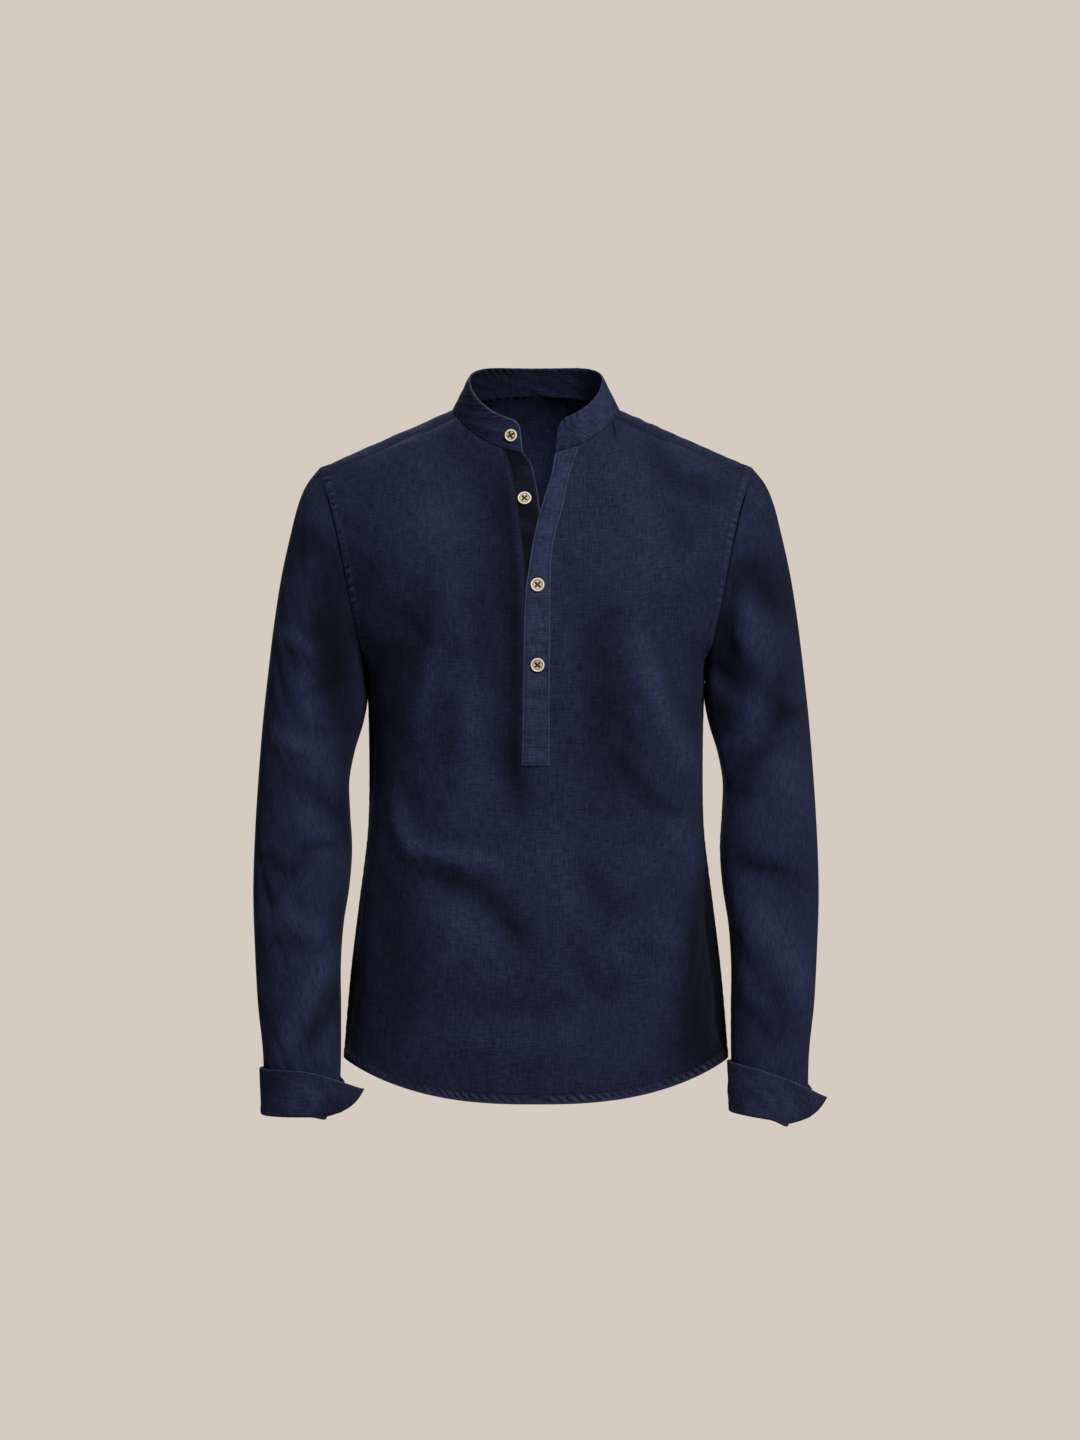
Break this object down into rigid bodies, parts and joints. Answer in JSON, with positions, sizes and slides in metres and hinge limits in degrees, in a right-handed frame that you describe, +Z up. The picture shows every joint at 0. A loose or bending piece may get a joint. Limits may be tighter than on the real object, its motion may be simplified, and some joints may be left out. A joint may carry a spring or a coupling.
{
  "type": "mandarin collar shirt",
  "caption": "Long-sleeved popover shirt with a band collar, half placket and turned-back cuffs, in its hollow worn form.",
  "frame": {"origin": "middle of the neck's base, level with the points where the shoulders meet the collar", "axes": "+Z up, front towards -Y, +X towards the wearer's left (the right of someone who faces the shirt)"},
  "size_m": [0.5911, 0.2494, 0.7851],
  "materials": {
    "cloth": "matt navy linen and cotton, slubby plain weave, garment washed",
    "button": "pale wood-like, satin, four holes sewn with dark thread"
  },
  "bodies": {
    "root": {"front": "cloth", "back": "cloth", "yoke": "cloth", "collar_band": "cloth", "placket_top": "cloth", "placket_under": "cloth", "sleeve_left": "cloth", "sleeve_right": "cloth", "cuff_left": "cloth", "cuff_right": "cloth", "button_1": "button", "button_2": "button", "button_3": "button", "button_4": "button"}
  },
  "joints": []
}
